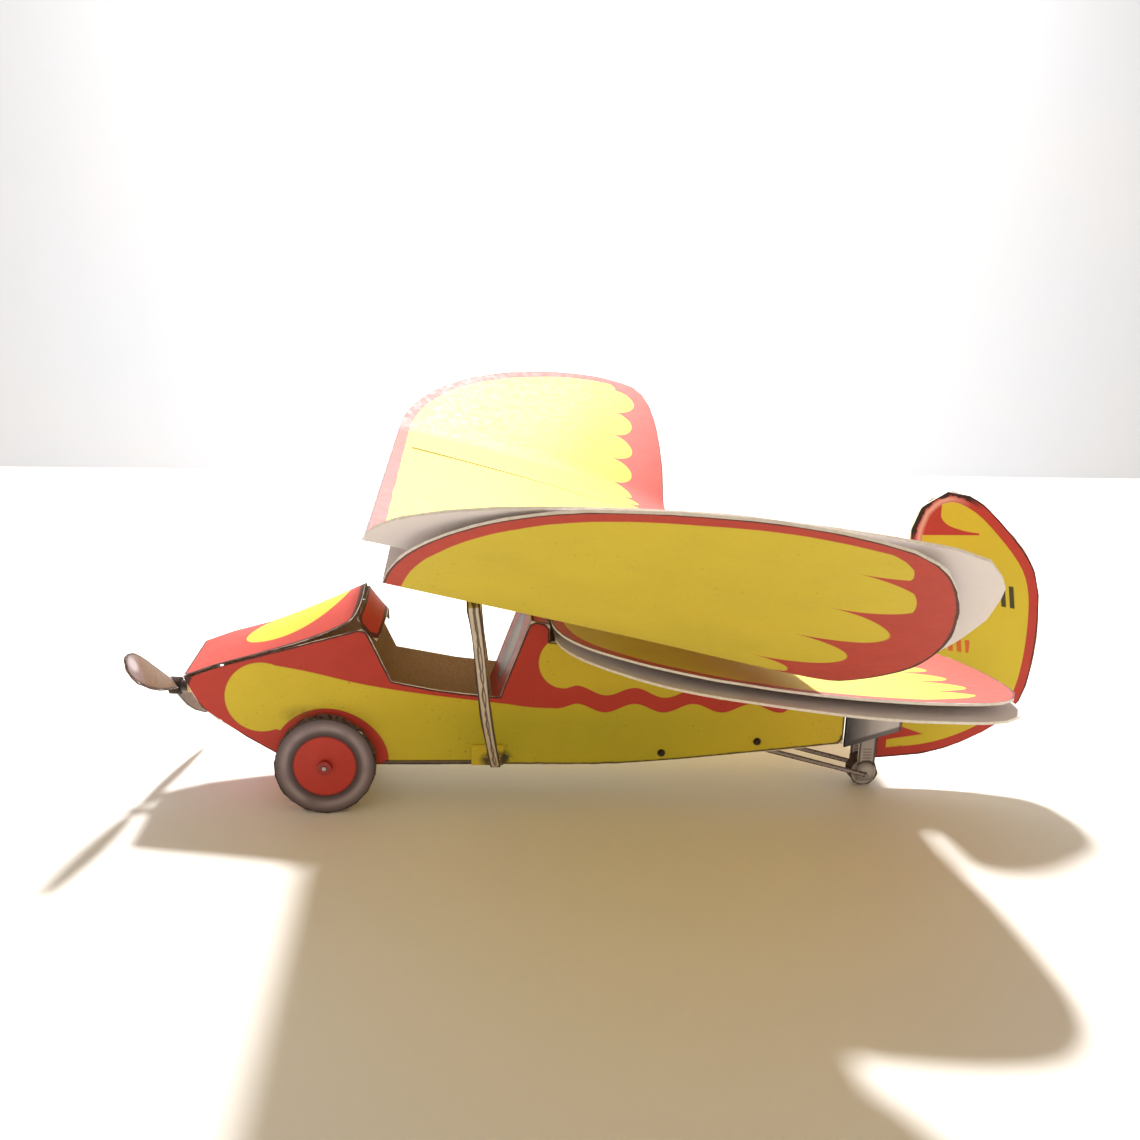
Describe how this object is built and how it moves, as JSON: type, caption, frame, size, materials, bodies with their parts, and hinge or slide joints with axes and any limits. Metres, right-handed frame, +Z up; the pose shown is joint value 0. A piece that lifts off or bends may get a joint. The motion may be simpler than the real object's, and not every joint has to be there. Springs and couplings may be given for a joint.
{
  "type": "card model aeroplane",
  "caption": "Printed card model aeroplane with two wings in tandem, open cockpit, free wheels, a trim rudder and a propeller turned by a rubber band inside the body.",
  "frame": {"origin": "centre of the footprint of the whole model, on the surface that the wheels stand on", "axes": "+X to the nose, +Y to port, +Z up"},
  "size_m": [0.1715, 0.194, 0.0746],
  "materials": {
    "printed_card": "satin",
    "red_card": "satin",
    "grey_card": "satin",
    "wheel_card": "satin",
    "propeller_card": "satin",
    "bare_card": "matte",
    "wire": "drawn wire",
    "brass_tube": "plain",
    "dark_pin": "stained",
    "band_rubber": "matte",
    "bead": "gloss"
  },
  "bodies": {
    "airframe": {"fuselage_side_left": "printed_card", "tail_cheek_left": "grey_card", "wing_strut_left": "bare_card", "strut_foot_left": "bare_card", "axle_cap_left": "bead", "tail_arm_left": "grey_card", "fuselage_side_right": "printed_card", "tail_cheek_right": "grey_card", "wing_strut_right": "bare_card", "strut_foot_right": "bare_card", "axle_cap_right": "bead", "tail_arm_right": "grey_card", "belly_strip": "printed_card", "nose_plate": "grey_card", "nose_deck": "printed_card", "coaming_flap": "red_card", "seat_back": "red_card", "hump_deck": "red_card", "tail_post": "grey_card", "wing_pylon": "bare_card", "front_wing_lower_sheet": "printed_card", "front_wing_upper_sheet": "printed_card", "front_wing_spar": "bare_card", "rear_wing_lower_sheet": "printed_card", "rear_wing_upper_sheet": "printed_card", "rear_wing_spar": "bare_card", "main_axle": "wire", "motor_peg": "dark_pin", "belly_pin": "dark_pin", "nose_bearing": "brass_tube", "rubber_band": "band_rubber", "tail_fork": "bare_card", "tail_axle": "wire", "rudder_tab": "bare_card"},
    "propeller": {"propeller_blade_a": "propeller_card", "propeller_blade_b": "propeller_card", "propeller_hub": "bare_card", "thrust_bead": "bead", "propeller_shaft": "wire"},
    "left_wheel": {"wheel_left_inner_disc": "wheel_card", "wheel_left_outer_disc": "wheel_card", "wheel_left_hub": "bare_card"},
    "right_wheel": {"wheel_right_inner_disc": "wheel_card", "wheel_right_outer_disc": "wheel_card", "wheel_right_hub": "bare_card"},
    "tail_wheel": {"tail_wheel_left_disc": "wheel_card", "tail_wheel_right_disc": "wheel_card", "tail_wheel_hub": "bare_card"},
    "rudder": {"rudder_skin_left": "printed_card", "rudder_skin_right": "printed_card"}
  },
  "joints": [
    {"name": "propeller_spin", "type": "hinge", "parent": "airframe", "child": "propeller", "pos_m": [0.082, 0, 0.0205], "axis": [0.9903, -0.1392, 0], "continuous": true, "deforming": ["rubber_band"]},
    {"name": "left_wheel_roll", "type": "hinge", "parent": "airframe", "child": "left_wheel", "pos_m": [0.0523, 0.0127, 0.0095], "axis": [0, 1, 0], "continuous": true},
    {"name": "right_wheel_roll", "type": "hinge", "parent": "airframe", "child": "right_wheel", "pos_m": [0.0523, -0.0127, 0.0095], "axis": [0, 1, 0], "continuous": true},
    {"name": "tail_wheel_roll", "type": "hinge", "parent": "airframe", "child": "tail_wheel", "pos_m": [-0.054, 0, 0.0029], "axis": [0, 1, 0], "continuous": true},
    {"name": "rudder_trim", "type": "hinge", "parent": "airframe", "child": "rudder", "pos_m": [-0.059, 0, 0.0225], "axis": [0, 0, 1], "range_deg": [-15, 15]}
  ]
}
